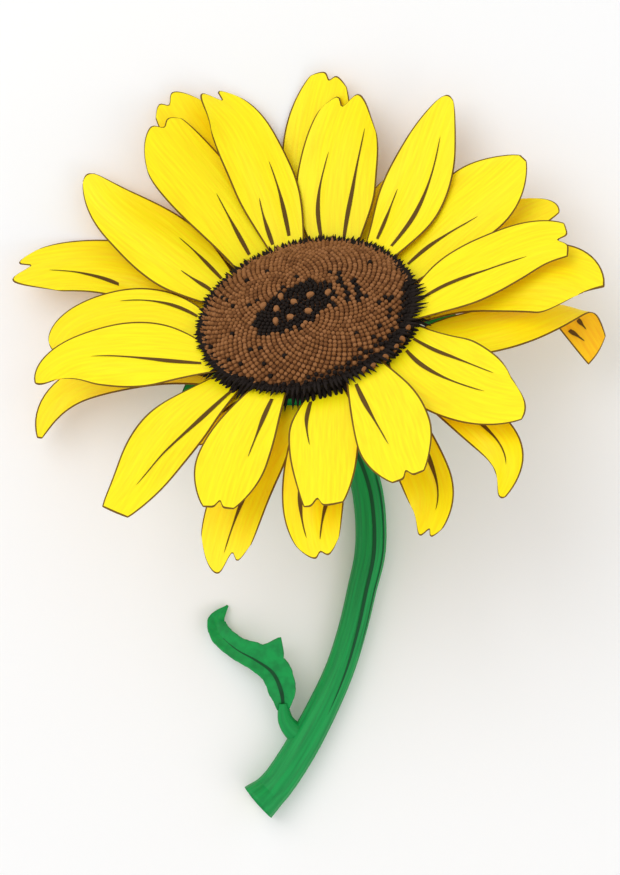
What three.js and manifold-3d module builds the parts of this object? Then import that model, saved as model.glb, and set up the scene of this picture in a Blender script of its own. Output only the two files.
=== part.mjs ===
// Cut sunflower lying on a floor: one bloom with brown disc, yellow ray petals in two rows, green bracts,
// a short bent stem cut off flat and one small leaf. Millimetres, +Z up, floor at z = 0, bloom towards +Y.
import * as THREE from "three";
import { mergeVertices } from "three/addons/utils/BufferGeometryUtils.js";
import Module from "manifold-3d";

const manifold = await Module();
manifold.setup();

const RADIANS = Math.PI / 180;
const UP = new THREE.Vector3(0, 0, 1);

// How far everything is moved so that the plant's own box stands centred over the origin.
const CENTRING = new THREE.Vector3(0.9, 2.9, 0);

// Head: where its middle lies, how far its face leans from straight up, and which way it is turned.
const HEAD_MIDDLE = new THREE.Vector3(-0.8, 47.4, 44);
const HEAD_LEAN = 47 * RADIANS;
const HEAD_TURN = 16 * RADIANS;

// Disc, heart and receptacle in the head's own frame, as pairs of radius and height along its axis.
const DISC_RADIUS = 43;
const DISC_UNDERSIDE = -2.2;
const DISC_DOME = [[DISC_RADIUS, 0.6], [42, 2], [39, 4.2], [33, 6.6], [24, 8.5], [12, 9.4], [0, 9.6]];
const HEART_HALF_LONG = 21.5;
const HEART_HALF_WIDE = 14;
const HEART_FLOOR = 5.6;
const HEART_PROUD = 0.8;
const SEAT_GAP = 0.3;
const RECEPTACLE_TOP = DISC_UNDERSIDE - SEAT_GAP;
const RECEPTACLE_FOOT = -24;
const RECEPTACLE_WALL = [[0, RECEPTACLE_FOOT], [7.2, RECEPTACLE_FOOT], [9.5, -23.4], [16, -21], [28, -17],
  [38, -13], [DISC_RADIUS, -10], [DISC_RADIUS, RECEPTACLE_TOP], [0, RECEPTACLE_TOP]];
const ROUND_SIDES = 48;

// Blades: thin plates whose bases stand round the disc's edge, at levels that let them pass each other.
const BASE_RADIUS = DISC_RADIUS + 0.4;
const BASE_BLEND = 0.25;
const BLADE_THICKNESS = 1;
const SPINE_STEPS = 40;
const FACE_TWIST = 16 * RADIANS;
const TWIST_DONE = 0.5;
const HOOK_START = 0.6;
const FRONT = { high: 1.6, mid: 0, low: -1.6, base: 0.55, steps: 9, columns: 6, pleat: 0.45, fold: 0 };
const BACK = { high: -3.6, low: -5.7, base: 0.5, steps: 9, columns: 6, pleat: 0.45, fold: 0 };

// Tips: the share of the length where the petal is widest, the share of the width left at its end,
// how far the corners fall back, the notch in the end and its place, and how far one corner is cut back.
const POINTED = { widest: 0.6, share: 0.1, drop: 0, notch: 0, at: 0, skew: 0 };
const BLUNT = { widest: 0.6, share: 0.6, drop: 0.05, notch: 0.04, at: 0, skew: 0 };
const ROUNDED = { widest: 0.55, share: 0.5, drop: 0.1, notch: 0, at: 0, skew: 0 };
const NOTCHED = { widest: 0.62, share: 0.42, drop: 0, notch: 0.05, at: 0, skew: 0 };
const SHOULDERED = { widest: 0.42, share: 0.55, drop: 0.1, notch: 0, at: 0, skew: 0 };
const LEFT_LOBED = { widest: 0.42, share: 0.84, drop: 0.19, notch: 0.1, at: 0.33, skew: 0 };
const RIGHT_LOBED = { ...LEFT_LOBED, at: -0.33 };
const LEFT_FLARED = { widest: 0.68, share: 0.83, drop: 0.12, notch: 0.05, at: 0.33, skew: -0.05 };
const RIGHT_FLARED = { ...LEFT_FLARED, at: -0.33, skew: 0.05 };
const TAPERED = { widest: 0.35, share: 0.21, drop: 0.03, notch: 0, at: 0, skew: 0 };
const LEFT_TAPERED = { ...TAPERED, skew: 0.05 };
const CORNERED = { widest: 0.72, share: 0.26, drop: 0, notch: 0, at: 0, skew: -0.05 };
const CUT_OFF = { widest: 0.42, share: 0.43, drop: 0, notch: 0, at: 0, skew: 0 };
const LOBED = { widest: 0.59, share: 0.67, drop: 0.1, notch: 0.04, at: 0, skew: 0 };
const TOOTHED = { widest: 0.35, share: 0.55, drop: 0.01, notch: 0.06, at: 0, skew: 0.03 };
const LEFT_LEANING = { widest: 0.42, share: 0.55, drop: 0.06, notch: 0, at: 0, skew: 0.07 };
const RIGHT_LEANING = { ...LEFT_LEANING, skew: -0.07 };
const SQUARE = { widest: 0.37, share: 0.55, drop: 0.01, notch: 0.06, at: -0.33, skew: 0 };
const CURL = { at: 0.65, slant: 45 * RADIANS, radius: 5.4, turn: 135 * RADIANS };
const TURNED = { widest: 0.21, share: 0.5, drop: 0.01, notch: 0, at: 0, skew: -0.03, steps: 24, crease: CURL };

// Each petal: degrees round the head, length, greatest width, degrees it heads away from straight out,
// mean rise off the disc's plane, curl of that rise, sweep of that heading, and the hook at its end.
const PETALS = [
  [FRONT, "low", LEFT_LOBED, 64, 65, 34, -9, 44, 10, -43, -10],
  [FRONT, "high", TAPERED, 36, 71, 28, 11, 29, 8, 32, -18],
  [FRONT, "low", POINTED, 18, 68, 34, 0, 18, 0, -20, 13],
  [FRONT, "high", TOOTHED, 343, 71, 28, 28, 5, -6, -9, -36],
  [FRONT, "low", LEFT_LEANING, 323, 76, 35, -22, 5, -8, 35, 20],
  [FRONT, "high", NOTCHED, 291, 72, 30, -20, 5, -8, -17, 10],
  [FRONT, "low", SQUARE, 268, 66, 28, -8, 3, -8, 6, -7],
  [FRONT, "high", NOTCHED, 238, 66, 28, 5, 2, -8, 17, -2],
  [FRONT, "low", CUT_OFF, 210, 85, 26, 24, 6, -8, 38, -22],
  [FRONT, "high", LEFT_TAPERED, 192, 75, 31, -19, 8, -8, 37, 50],
  [FRONT, "low", SHOULDERED, 162, 72, 26, 17, 8, -4, 97, 36],
  [FRONT, "low", TAPERED, 133, 76, 31, 1, 30, 10, 9, -29],
  [FRONT, "mid", RIGHT_FLARED, 108, 75, 31, 18, 45, 10, 33, -21],
  [FRONT, "high", RIGHT_LOBED, 90, 75, 26, 13, 44, 10, 29, 40],
  [BACK, "high", BLUNT, 77, 75, 30, -15, 41, 10, -21, -11],
  [BACK, "low", ROUNDED, 47, 40, 18, 5, 22, 10, -5, 0],
  [BACK, "high", ROUNDED, 28, 42, 18, 3, 17, 10, -8, 0],
  [BACK, "low", LEFT_LEANING, 11, 74, 24, 5, 6, 0, -12, -9],
  [BACK, "high", CORNERED, 348, 79, 33, -3, 0, -6, -68, -13],
  [BACK, "low", TURNED, 326, 97, 24, 53, -13, -5, 45, -18],
  [BACK, "high", RIGHT_LEANING, 312, 92, 19, -17, -10, -26, -9, -79],
  [BACK, "low", LEFT_FLARED, 297, 82, 20, -21, -16, -26, -7, -61],
  [BACK, "high", LOBED, 264, 74, 25, -10, -14, -26, 0, 17],
  [BACK, "low", LEFT_LOBED, 249, 76, 25, -18, -20, -26, 23, -3],
  [BACK, "high", ROUNDED, 224, 33, 18, -29, -10, -20, -21, 0],
  [BACK, "low", POINTED, 199, 97, 18, -43, -14, -20, 51, 62],
  [BACK, "high", ROUNDED, 171, 42, 15, -15, -6, -20, -22, 0],
  [BACK, "low", RIGHT_LOBED, 144, 94, 28, 19, 16, 4, 95, 1],
  [BACK, "high", ROUNDED, 119, 34, 14, 0, 24, 8, 4, 0],
  [BACK, "high", LEFT_FLARED, 99, 87, 28, 15, 42, 8, 33, -18],
];

// Bracts: green points in one ring under the petals, folded up only as far as the floor makes them.
const BRACT_COUNT = 20;
const BRACT_START = 9 * RADIANS;
const BRACT = { base: 0.68, steps: 8, columns: 5, pleat: 0.45, fold: 0 };
const BRACT_TIP = { widest: 0.3, share: 0.12, drop: 0.05, notch: 0, at: 0, skew: 0 };
const BRACT_LEVEL = -8;
const BRACT_LENGTH = 18;
const BRACT_WIDTH = 13.6;
const BRACT_RISE = -28 * RADIANS;
const BRACT_SWAY = 4 * RADIANS;
const BRACT_VARY = 0.08;
const BRACT_CLEARANCE = 1.9;

// Stem: its middle line from the receptacle to the cut, with the radius at each point.
const STEM_SIDES = 16;
const STEM_RINGS = 44;
const STEM_PATH = [[4.15, 30.1, 27.2, 6.8], [5.4, 25.6, 23.1, 6.5], [9.4, 14.6, 14.6, 6.3], [15, 1, 8.3, 6.2],
  [20.6, -11.5, 6.3, 6.2], [24, -25, 6.4, 6.4], [24.7, -46, 6.4, 6.4], [21.2, -62.5, 6, 6], [17.3, -78.9, 5.9, 5.9],
  [12.2, -95, 6, 6], [5, -111, 6.4, 6.4], [-3.6, -127, 6.8, 6.8], [-12.5, -140.6, 6.9, 6.9],
  [-16.6, -145.2, 7.2, 7.2], [-21.3, -149.3, 8.4, 8.4]];

// Leaf: a short stalk from the stem's side and a folded blade that bends twice, with one tooth.
const STALK_SIDES = 12;
const STALK_RINGS = 10;
const STALK_PATH = [[0, -122.6, 6.8, 5], [-6, -120.6, 7.2, 4.4], [-9.8, -116.2, 7.8, 3.4], [-10.8, -111.8, 8, 2.6]];
const LEAF_SPINE = [[-10.9, -111.2, 8], [-11.8, -104, 9.4], [-15.4, -96.2, 11], [-22, -91.2, 11],
  [-30.2, -86.6, 9], [-36.8, -80.6, 6], [-38.4, -75, 3.6], [-33.8, -69, 1.6]];
const LEAF_LEFT = [2.6, 5.2, 4.8, 4.2, 4, 4.2, 3.6, 0.4];
const LEAF_RIGHT = [2.6, 6.4, 8, 7.6, 5.4, 4.8, 4, 0.4];
const LEAF_TOOTH = { at: 0.375, reach: 6.5, spread: 0.07 };
const LEAF_FOLD = 0.3;
const LEAF_STEPS = 24;
const LEAF_COLUMNS = 4;

const COLOURS = {
  petal: { color: 0xfff200, roughness: 0.6, metalness: 0 },
  disc: { color: 0x754c29, roughness: 0.9, metalness: 0 },
  heart: { color: 0x1c120b, roughness: 0.9, metalness: 0 },
  green: { color: 0x009444, roughness: 0.7, metalness: 0 },
};

const headFrame = new THREE.Matrix4();
{
  const axis = new THREE.Vector3(0, Math.sin(HEAD_LEAN), Math.cos(HEAD_LEAN)).applyAxisAngle(UP, HEAD_TURN);
  const right = new THREE.Vector3(Math.cos(HEAD_TURN), Math.sin(HEAD_TURN), 0);
  headFrame.makeBasis(right, axis.clone().cross(right), axis).setPosition(HEAD_MIDDLE);
}

function solidOf(geometry) {
  const bare = new THREE.BufferGeometry();
  bare.setAttribute("position", geometry.getAttribute("position"));
  bare.setIndex(geometry.getIndex());
  const joined = mergeVertices(bare, 1e-4);
  return new manifold.Manifold(new manifold.Mesh({
    numProp: 3,
    vertProperties: joined.attributes.position.array,
    triVerts: new Uint32Array(joined.index.array),
  }));
}

function geometryOf(solid) {
  const mesh = solid.getMesh();
  const geometry = new THREE.BufferGeometry();
  geometry.setAttribute("position", new THREE.BufferAttribute(mesh.vertProperties, 3));
  geometry.setIndex(new THREE.BufferAttribute(mesh.triVerts, 1));
  geometry.computeVertexNormals();
  return geometry;
}

function geometryFrom(points, faces) {
  const geometry = new THREE.BufferGeometry().setFromPoints(points);
  geometry.setIndex(faces.flat());
  geometry.computeVertexNormals();
  return geometry;
}

// A turned solid round the head's axis; the profile runs from the axis below to the axis above.
function turned(profile) {
  const outline = profile.map(([radius, height]) => new THREE.Vector2(radius, height));
  return new THREE.LatheGeometry(outline, ROUND_SIDES).rotateX(90 * RADIANS);
}

function ovalPost(grow, floor) {
  const height = 20;
  return new THREE.CylinderGeometry(1, 1, height, 40)
    .rotateX(90 * RADIANS)
    .scale(HEART_HALF_LONG + grow, HEART_HALF_WIDE + grow, 1)
    .translate(0, 0, floor + height / 2);
}

// A closed plate of even thickness over rows of points that run from base to tip.
function plate(rows, thickness) {
  const last = rows.length - 1;
  const end = rows[0].length - 1;
  const faceUp = [];
  const faceDown = [];
  rows.forEach((row, i) => row.forEach((point, j) => {
    const along = rows[Math.min(i + 1, last)][j].clone().sub(rows[Math.max(i - 1, 0)][j]);
    const across = row[Math.min(j + 1, end)].clone().sub(row[Math.max(j - 1, 0)]);
    const normal = along.cross(across).setLength(thickness / 2);
    faceUp.push(point.clone().add(normal));
    faceDown.push(point.clone().sub(normal));
  }));
  const at = (i, j) => i * (end + 1) + j;
  const below = faceUp.length;
  const faces = [];
  for (let i = 0; i < last; i++) {
    for (let j = 0; j < end; j++) {
      const [a, b, c, d] = [at(i, j), at(i + 1, j), at(i + 1, j + 1), at(i, j + 1)];
      faces.push([a, b, c], [a, c, d], [below + a, below + c, below + b], [below + a, below + d, below + c]);
    }
  }
  const rim = [];
  for (let i = 0; i < last; i++) rim.push(at(i, 0));
  for (let j = 0; j < end; j++) rim.push(at(last, j));
  for (let i = last; i > 0; i--) rim.push(at(i, end));
  for (let j = end; j > 0; j--) rim.push(at(0, j));
  rim.forEach((p, k) => {
    const q = rim[(k + 1) % rim.length];
    faces.push([p, below + p, below + q], [p, below + q, q]);
  });
  return geometryFrom(faceUp.concat(faceDown), faces);
}

function smooth(value) {
  const share = Math.min(Math.max(value, 0), 1);
  return share * share * (3 - 2 * share);
}

// The middle line of a blade in the head's frame: points with their direction, sideways and normal vectors.
function spineOf({ angle, level, length, heading, rise, curl, sweep, hook }) {
  const out = new THREE.Vector3(Math.cos(angle), Math.sin(angle), 0);
  const round = new THREE.Vector3(-Math.sin(angle), Math.cos(angle), 0);
  const point = out.clone().multiplyScalar(BASE_RADIUS).setZ(level);
  const spine = [];
  for (let k = 0; k <= SPINE_STEPS; k++) {
    const share = k / SPINE_STEPS;
    const tilt = rise + curl * (share - 0.5);
    const turn = heading + sweep * (share - 0.5) + hook * smooth((share - HOOK_START) / (1 - HOOK_START));
    const twist = FACE_TWIST * Math.cos(angle) * smooth(share / TWIST_DONE);
    const flat = out.clone().multiplyScalar(Math.cos(turn)).addScaledVector(round, Math.sin(turn));
    const along = flat.multiplyScalar(Math.cos(tilt)).addScaledVector(UP, Math.sin(tilt));
    const across = UP.clone().cross(along).normalize().applyAxisAngle(along, twist);
    spine.push({ point: point.clone(), along, across, normal: along.clone().cross(across) });
    point.addScaledVector(along, length / SPINE_STEPS);
  }
  return spine;
}

function spineAt(spine, share) {
  const place = Math.min(Math.max(share, 0), 1) * SPINE_STEPS;
  const k = Math.min(Math.floor(place), SPINE_STEPS - 1);
  const [from, to] = [spine[k], spine[k + 1]];
  return Object.fromEntries(Object.keys(from).map((key) => [key, from[key].clone().lerp(to[key], place - k)]));
}

function onSpine(spine, share, sideways, relief) {
  const { point, across, normal } = spineAt(spine, share);
  return point.addScaledVector(across, sideways).addScaledVector(normal, relief);
}

// A point of a blade whose end is turned under its own face about a slanting crease.
function turnedOver(spine, length, crease, share, sideways, relief) {
  const ahead = new THREE.Vector2(Math.sin(crease.slant), Math.cos(crease.slant));
  const past = (share - crease.at) * length * ahead.x + sideways * ahead.y;
  if (past <= 0) return onSpine(spine, share, sideways, relief);
  const { along, across, normal } = spineAt(spine, crease.at);
  const point = onSpine(spine, share - (past * ahead.x) / length, sideways - past * ahead.y, relief);
  const outward = along.clone().multiplyScalar(ahead.x).addScaledVector(across, ahead.y);
  const bend = Math.min(past / crease.radius, crease.turn);
  const straight = past - bend * crease.radius;
  return point
    .addScaledVector(outward, crease.radius * Math.sin(bend) + straight * Math.cos(bend))
    .addScaledVector(normal, -crease.radius * (1 - Math.cos(bend)) - straight * Math.sin(bend));
}

function widthShare(share, base, tip) {
  if (share < tip.widest) return base + (1 - base) * Math.sin((90 * RADIANS * share) / tip.widest);
  const narrowing = Math.max(0, Math.cos((90 * RADIANS * (share - tip.widest)) / (1 - tip.widest))) ** 0.8;
  return tip.share + (1 - tip.share) * narrowing;
}

// A petal or bract: its base follows the disc's edge, its pleats run lengthwise, its tip is cut to shape.
function blade(kind, tip, placing, width) {
  const spine = spineOf(placing);
  const rows = [];
  const steps = tip.steps ?? kind.steps;
  for (let i = 0; i <= steps; i++) {
    const share = i / steps;
    const half = (width / 2) * widthShare(share, kind.base, tip);
    const row = [];
    for (let j = 0; j <= kind.columns; j++) {
      const side = (2 * j) / kind.columns - 1;
      const notch = tip.notch * Math.exp(-(((side - tip.at) / 0.2) ** 2));
      const shorter = tip.drop * side ** 2 + tip.skew * side + Math.abs(tip.skew) + notch;
      const relief = kind.pleat * Math.sin(share * 180 * RADIANS) * Math.cos(side * 270 * RADIANS)
        + kind.fold * Math.abs(side) * half;
      const place = share - shorter * share ** 3;
      const point = tip.crease
        ? turnedOver(spine, placing.length, tip.crease, place, side * half, relief)
        : onSpine(spine, place, side * half, relief);
      const baseAngle = placing.angle + (side * (width / 2) * kind.base) / BASE_RADIUS;
      const basePoint = new THREE.Vector3(Math.cos(baseAngle), Math.sin(baseAngle), 0).multiplyScalar(BASE_RADIUS);
      const hold = Math.max(0, 1 - share / BASE_BLEND) ** 2;
      row.push(point.lerp(basePoint.setZ(placing.level), hold));
    }
    rows.push(row);
  }
  return plate(rows, BLADE_THICKNESS).applyMatrix4(headFrame);
}

// The rise that keeps a bract's tip clear of the floor, or its natural rise where the floor is far.
function bractRise(angle, length) {
  const fall = -Math.sin(HEAD_LEAN) * Math.sin(angle);
  const lift = Math.cos(HEAD_LEAN);
  const baseHeight = HEAD_MIDDLE.z + fall * BASE_RADIUS + lift * BRACT_LEVEL;
  const steepest = (BRACT_CLEARANCE - baseHeight) / length;
  const reach = Math.hypot(fall, lift);
  if (steepest < -reach) return BRACT_RISE;
  return Math.max(BRACT_RISE, Math.asin(steepest / reach) - Math.atan2(fall, lift));
}

// A round limb along a smooth path of [x, y, z, radius]; its far end is cut off upright and flat.
function limb(path, sides, rings, grow = 0) {
  const curve = new THREE.CatmullRomCurve3(path.map(([x, y, z]) => new THREE.Vector3(x, y, z)));
  const points = [];
  for (let i = 0; i <= rings; i++) {
    const share = i / rings;
    const place = Math.min(share * (path.length - 1), path.length - 1 - 1e-9);
    const k = Math.floor(place);
    const radius = grow + path[k][3] + (path[k + 1][3] - path[k][3]) * (place - k);
    const along = curve.getTangent(share);
    if (i === rings) along.setZ(0).normalize();
    const right = along.clone().cross(UP).normalize();
    const above = right.clone().cross(along);
    const middle = curve.getPoint(share);
    middle.z = Math.max(middle.z, radius - grow);
    for (let s = 0; s < sides; s++) {
      const round = (360 * RADIANS * s) / sides;
      points.push(middle.clone()
        .addScaledVector(right, radius * Math.cos(round))
        .addScaledVector(above, radius * Math.sin(round)));
    }
  }
  const ends = [curve.getPoint(0), curve.getPoint(1)];
  const faces = [];
  for (let s = 0; s < sides; s++) {
    const next = (s + 1) % sides;
    for (let i = 0; i < rings; i++) {
      const [a, b] = [i * sides + s, i * sides + next];
      faces.push([a, b + sides, b], [a, a + sides, b + sides]);
    }
    faces.push([points.length, s, next]);
    faces.push([points.length + 1, rings * sides + next, rings * sides + s]);
  }
  return geometryFrom(points.concat(ends), faces);
}

function leafBlade() {
  const curve = new THREE.CatmullRomCurve3(LEAF_SPINE.map(([x, y, z]) => new THREE.Vector3(x, y, z)));
  const rows = [];
  for (let i = 0; i <= LEAF_STEPS; i++) {
    const share = i / LEAF_STEPS;
    const place = Math.min(share * (LEAF_SPINE.length - 1), LEAF_SPINE.length - 1 - 1e-9);
    const k = Math.floor(place);
    const between = (list) => list[k] + (list[k + 1] - list[k]) * (place - k);
    const tooth = LEAF_TOOTH.reach * Math.max(0, 1 - Math.abs(share - LEAF_TOOTH.at) / LEAF_TOOTH.spread);
    const left = UP.clone().cross(curve.getTangent(share)).normalize();
    const row = [];
    for (let j = 0; j <= LEAF_COLUMNS; j++) {
      const side = (2 * j) / LEAF_COLUMNS - 1;
      const wide = side > 0 ? between(LEAF_LEFT) : between(LEAF_RIGHT) + tooth * side ** 2;
      const point = curve.getPoint(share).addScaledVector(left, side * wide);
      row.push(point.addScaledVector(UP, LEAF_FOLD * Math.abs(side) * wide));
    }
    rows.push(row);
  }
  return plate(rows, BLADE_THICKNESS);
}

const group = new THREE.Group();

function add(name, geometry, look) {
  geometry.translate(CENTRING.x, CENTRING.y, CENTRING.z);
  const mesh = new THREE.Mesh(geometry, new THREE.MeshStandardMaterial(COLOURS[look]));
  mesh.name = name;
  group.add(mesh);
}

const discProfile = [[0, DISC_UNDERSIDE], [DISC_RADIUS, DISC_UNDERSIDE], ...DISC_DOME];
const heartProfile = discProfile.map(([radius, height]) => [radius, height + (height > 0 ? HEART_PROUD : 0)]);
const discSolid = solidOf(turned(discProfile)).subtract(solidOf(ovalPost(SEAT_GAP, HEART_FLOOR)));
const heartSolid = solidOf(turned(heartProfile)).intersect(solidOf(ovalPost(0, HEART_FLOOR + SEAT_GAP)));
add("disc", geometryOf(discSolid).applyMatrix4(headFrame), "disc");
add("disc_heart", geometryOf(heartSolid).applyMatrix4(headFrame), "heart");
add("receptacle", turned(RECEPTACLE_WALL).applyMatrix4(headFrame), "green");

const counts = { front: 0, back: 0 };
PETALS.forEach(([kind, level, tip, degrees, length, width, heading, rise, curl, sweep, hook]) => {
  const row = kind === FRONT ? "front" : "back";
  counts[row] += 1;
  const placing = {
    angle: degrees * RADIANS,
    level: kind[level],
    length,
    heading: heading * RADIANS,
    rise: rise * RADIANS,
    curl: curl * RADIANS,
    sweep: sweep * RADIANS,
    hook: hook * RADIANS,
  };
  const name = "petal_" + row + "_" + String(counts[row]).padStart(2, "0");
  add(name, blade(kind, tip, placing, width), "petal");
});

for (let k = 0; k < BRACT_COUNT; k++) {
  const angle = BRACT_START + (360 * RADIANS * k) / BRACT_COUNT;
  const length = BRACT_LENGTH * (1 + BRACT_VARY * Math.cos(1.7 * k));
  const placing = {
    angle,
    level: BRACT_LEVEL,
    length,
    heading: BRACT_SWAY * Math.sin(2.4 * k),
    rise: bractRise(angle, length),
    curl: 0,
    sweep: 0,
    hook: 0,
  };
  add("bract_" + String(k + 1).padStart(2, "0"), blade(BRACT, BRACT_TIP, placing, BRACT_WIDTH), "green");
}

const stem = limb(STEM_PATH, STEM_SIDES, STEM_RINGS);
const stemWithGap = limb(STEM_PATH, STEM_SIDES, STEM_RINGS, SEAT_GAP);
const stalk = solidOf(limb(STALK_PATH, STALK_SIDES, STALK_RINGS)).subtract(solidOf(stemWithGap));
add("stem", stem, "green");
add("leaf_stalk", geometryOf(stalk), "green");
add("leaf_blade", leafBlade(), "green");

export default group;
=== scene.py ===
"""Looks of a cut sunflower that lies face up: pleated petals, packed florets, ribbed stem and folded leaf."""

import math

import bpy
import numpy as np
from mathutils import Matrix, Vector


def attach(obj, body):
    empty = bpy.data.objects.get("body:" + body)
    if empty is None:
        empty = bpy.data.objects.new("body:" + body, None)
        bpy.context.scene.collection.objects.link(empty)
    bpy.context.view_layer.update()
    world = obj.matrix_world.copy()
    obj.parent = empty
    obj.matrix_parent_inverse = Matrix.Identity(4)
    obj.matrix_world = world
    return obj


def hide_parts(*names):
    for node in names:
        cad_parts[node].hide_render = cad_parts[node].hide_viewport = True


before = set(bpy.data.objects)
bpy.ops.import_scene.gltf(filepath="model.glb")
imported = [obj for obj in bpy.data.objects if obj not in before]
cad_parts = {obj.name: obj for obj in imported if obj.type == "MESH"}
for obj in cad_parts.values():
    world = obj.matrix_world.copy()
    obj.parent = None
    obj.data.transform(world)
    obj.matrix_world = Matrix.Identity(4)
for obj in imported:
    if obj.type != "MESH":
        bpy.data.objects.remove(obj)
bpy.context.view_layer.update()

# Sizes are in millimetres and turned to metres when a mesh is made.
MM = 0.001
UP = np.array([0.0, 0.0, 1.0])
LEVEL = np.array([1, 1, 0])
CENTRING = np.array([0.9, 2.9, 0.0])

# Head: its middle, how far its axis leans off upright, and how far that lean is turned off +Y.
HEAD_MIDDLE = np.array([-0.8, 47.4, 44.0])
HEAD_LEAN = math.radians(47)
HEAD_TURN = math.radians(16)

# Disc and green cup: outlines turned about the head's axis, each point a radius and a height.
DISC_RADIUS = 43
DISC_FLOOR = -2.2
DISC_DOME = [(DISC_RADIUS, 0.6), (42, 2), (39, 4.2), (33, 6.6), (24, 8.5), (12, 9.4), (0, 9.6)]
DISC_SIDES = 96
DOME_STEPS = 4
# Past this radius the disc's ground is black, painted shade in the gaps between the chaff.
GAP_SHADE_FROM = 41.5
CUP_WALL = [(6.4, -25.4), (8.2, -24.6), (10, -23.2), (16, -21), (28, -17), (38, -13), (43, -10),
            (43.2, -6), (43, -2.4), (40, -2.3)]
CUP_SIDES = 144
CUP_STEPS = 5
CUP_RIBS = 24
CUP_RIB_DEPTH = 0.012

# Blades, as petals and bracts are: the radius they start at, the share over which they leave the disc,
# how far the face is twisted and by what share, and the share where the tip starts to hook.
BASE_RADIUS = 43.4
BASE_BLEND = 0.25
SPINE_STEPS = 40
FACE_TWIST = math.radians(16)
TWIST_DONE = 0.5
HOOK_START = 0.6
TIP_ROUND = 0.8
NOTCH_SPREAD = 0.2
PLEATS = 1.5
FRONT = {"high": 1.6, "mid": 0, "low": -1.6, "base": 0.55, "pleat": 0.45}
BACK = {"high": -3.6, "low": -5.7, "base": 0.5, "pleat": 0.45}

# Tips: the share of the length where the petal is widest, the share of the width left at its end,
# how far the corners fall back, the notch in the end and its place, and how far one corner is cut back.
TIP = {"drop": 0, "notch": 0, "at": 0, "skew": 0}
POINTED = {**TIP, "widest": 0.6, "share": 0.1}
BLUNT = {**TIP, "widest": 0.6, "share": 0.6, "drop": 0.05, "notch": 0.04}
ROUNDED = {**TIP, "widest": 0.55, "share": 0.5, "drop": 0.1}
NOTCHED = {**TIP, "widest": 0.62, "share": 0.42, "notch": 0.05}
SHOULDERED = {**TIP, "widest": 0.42, "share": 0.55, "drop": 0.1}
LEFT_LOBED = {**TIP, "widest": 0.42, "share": 0.84, "drop": 0.19, "notch": 0.1, "at": 0.33}
RIGHT_LOBED = {**LEFT_LOBED, "at": -0.33}
LEFT_FLARED = {"widest": 0.68, "share": 0.83, "drop": 0.12, "notch": 0.05, "at": 0.33, "skew": -0.05}
RIGHT_FLARED = {**LEFT_FLARED, "at": -0.33, "skew": 0.05}
TAPERED = {**TIP, "widest": 0.35, "share": 0.21, "drop": 0.03}
LEFT_TAPERED = {**TAPERED, "skew": 0.05}
CORNERED = {**TIP, "widest": 0.72, "share": 0.26, "skew": -0.05}
CUT_OFF = {**TIP, "widest": 0.42, "share": 0.43}
LOBED = {**TIP, "widest": 0.59, "share": 0.67, "drop": 0.1, "notch": 0.04}
TOOTHED = {**TIP, "widest": 0.35, "share": 0.55, "drop": 0.01, "notch": 0.06, "skew": 0.03}
LEFT_LEANING = {**TIP, "widest": 0.42, "share": 0.55, "drop": 0.06, "skew": 0.07}
RIGHT_LEANING = {**LEFT_LEANING, "skew": -0.07}
SQUARE = {**TIP, "widest": 0.37, "share": 0.55, "drop": 0.01, "notch": 0.06, "at": -0.33}

# The one tip that is turned under has a crease: its share of the length, its slant, its radius and turn.
CURL = {"at": 0.65, "slant": math.radians(45), "radius": 5.4, "turn": math.radians(135)}
TURNED = {**TIP, "widest": 0.21, "share": 0.5, "drop": 0.01, "skew": -0.03, "crease": CURL}

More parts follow.
